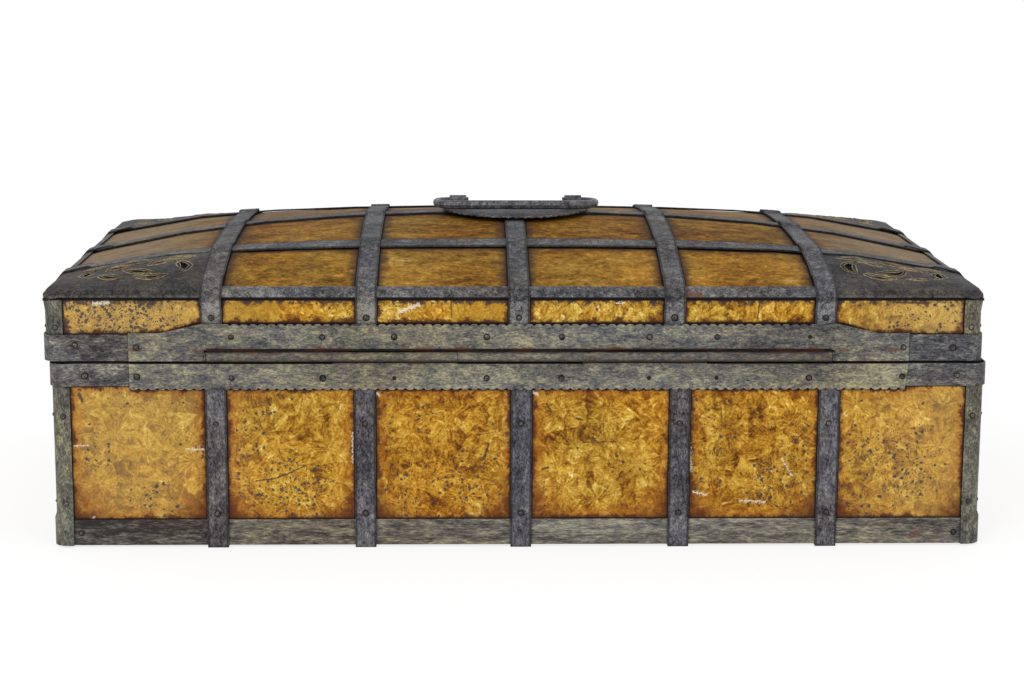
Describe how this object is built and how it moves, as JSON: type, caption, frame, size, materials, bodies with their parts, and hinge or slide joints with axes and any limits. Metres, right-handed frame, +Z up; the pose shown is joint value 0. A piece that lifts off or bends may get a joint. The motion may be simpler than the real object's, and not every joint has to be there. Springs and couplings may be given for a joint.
{
  "type": "iron-bound chest",
  "caption": "Low rectangular chest with a domed hinged lid, clad in tinplate, bound with riveted iron straps, with a swinging top handle and an inside lock.",
  "frame": {"origin": "on the floor under the middle strap, at the centre of the wooden box in plan", "axes": "+X along the box, to the right as seen from the hinge side; +Y from the hinge side to the lock side; +Z up"},
  "size_m": [0.6083, 0.3471, 0.2097],
  "materials": {
    "chest_wood": "dry aged softwood stained red-brown",
    "gold_tin": "crystallised tinplate under yellow lacquer",
    "roof_tin": "crystallised tinplate under darkened lacquer",
    "strap_iron": "dark wrought strip with worn tinning",
    "pierced_iron": "dark pierced sheet iron",
    "hinge_iron": "worn tinned iron with rust near the barrel",
    "handle_iron": "dark forged iron, rubbed by the hand",
    "lock_iron": "filed iron"
  },
  "bodies": {
    "base": {"base_back_board": "chest_wood", "base_bottom_board": "chest_wood", "base_corner_strap_back_left": "strap_iron", "base_corner_strap_back_right": "strap_iron", "base_corner_strap_front_left": "strap_iron", "base_corner_strap_front_right": "strap_iron", "base_end_strap_left_back": "strap_iron", "base_end_strap_left_front": "strap_iron", "base_end_strap_right_back": "strap_iron", "base_end_strap_right_front": "strap_iron", "base_foot_band": "strap_iron", "base_front_board": "chest_wood", "base_hinge_leaf": "hinge_iron", "base_left_board": "chest_wood", "base_right_board": "chest_wood", "base_rim_band": "strap_iron", "base_strap_1": "strap_iron", "base_strap_2": "strap_iron", "base_strap_3": "strap_iron", "base_strap_4": "strap_iron", "base_strap_5": "strap_iron", "base_tin": "gold_tin", "hinge_pin": "handle_iron", "lock_case": "lock_iron", "lock_plate": "lock_iron"},
    "lid": {"lid_frame": "chest_wood", "roof_stave_back": "chest_wood", "roof_stave_middle": "chest_wood", "roof_stave_front": "chest_wood", "lid_rim_tin": "gold_tin", "lid_roof_tin": "roof_tin", "lid_strap_1": "strap_iron", "lid_strap_2": "strap_iron", "lid_strap_3": "strap_iron", "lid_strap_4": "strap_iron", "lid_strap_5": "strap_iron", "lid_long_band_back": "strap_iron", "lid_long_band_ridge": "strap_iron", "lid_long_band_front": "strap_iron", "lid_eave_band_back": "strap_iron", "lid_eave_band_front": "strap_iron", "lid_eave_band_left": "strap_iron", "lid_eave_band_right": "strap_iron", "lid_corner_strap_back_left": "strap_iron", "lid_corner_strap_back_right": "strap_iron", "lid_corner_strap_front_left": "strap_iron", "lid_corner_strap_front_right": "strap_iron", "lid_rim_band": "strap_iron", "lid_corner_plate_back_left": "pierced_iron", "lid_corner_plate_back_right": "pierced_iron", "lid_corner_plate_front_left": "pierced_iron", "lid_corner_plate_front_right": "pierced_iron", "lid_hinge_leaf": "hinge_iron", "lock_keeper": "lock_iron", "handle_plate": "handle_iron", "handle_staple_left": "handle_iron", "handle_staple_right": "handle_iron"},
    "bail": {"handle_bail": "handle_iron"},
    "bolt": {"lock_bolt": "lock_iron"}
  },
  "joints": [
    {"name": "lid_hinge", "type": "hinge", "parent": "base", "child": "lid", "pos_m": [0, -0.17235, 0.1267], "axis": [1, 0, 0], "range_deg": [0, 110]},
    {"name": "bail_swing", "type": "hinge", "parent": "lid", "child": "bail", "pos_m": [0.0007, 0, 0.20631], "axis": [-1, 0, 0], "range_deg": [0, 180]},
    {"name": "bolt_slide", "type": "slide", "parent": "base", "child": "bolt", "axis": [1, 0, 0], "range_m": [0, 0.008]}
  ]
}
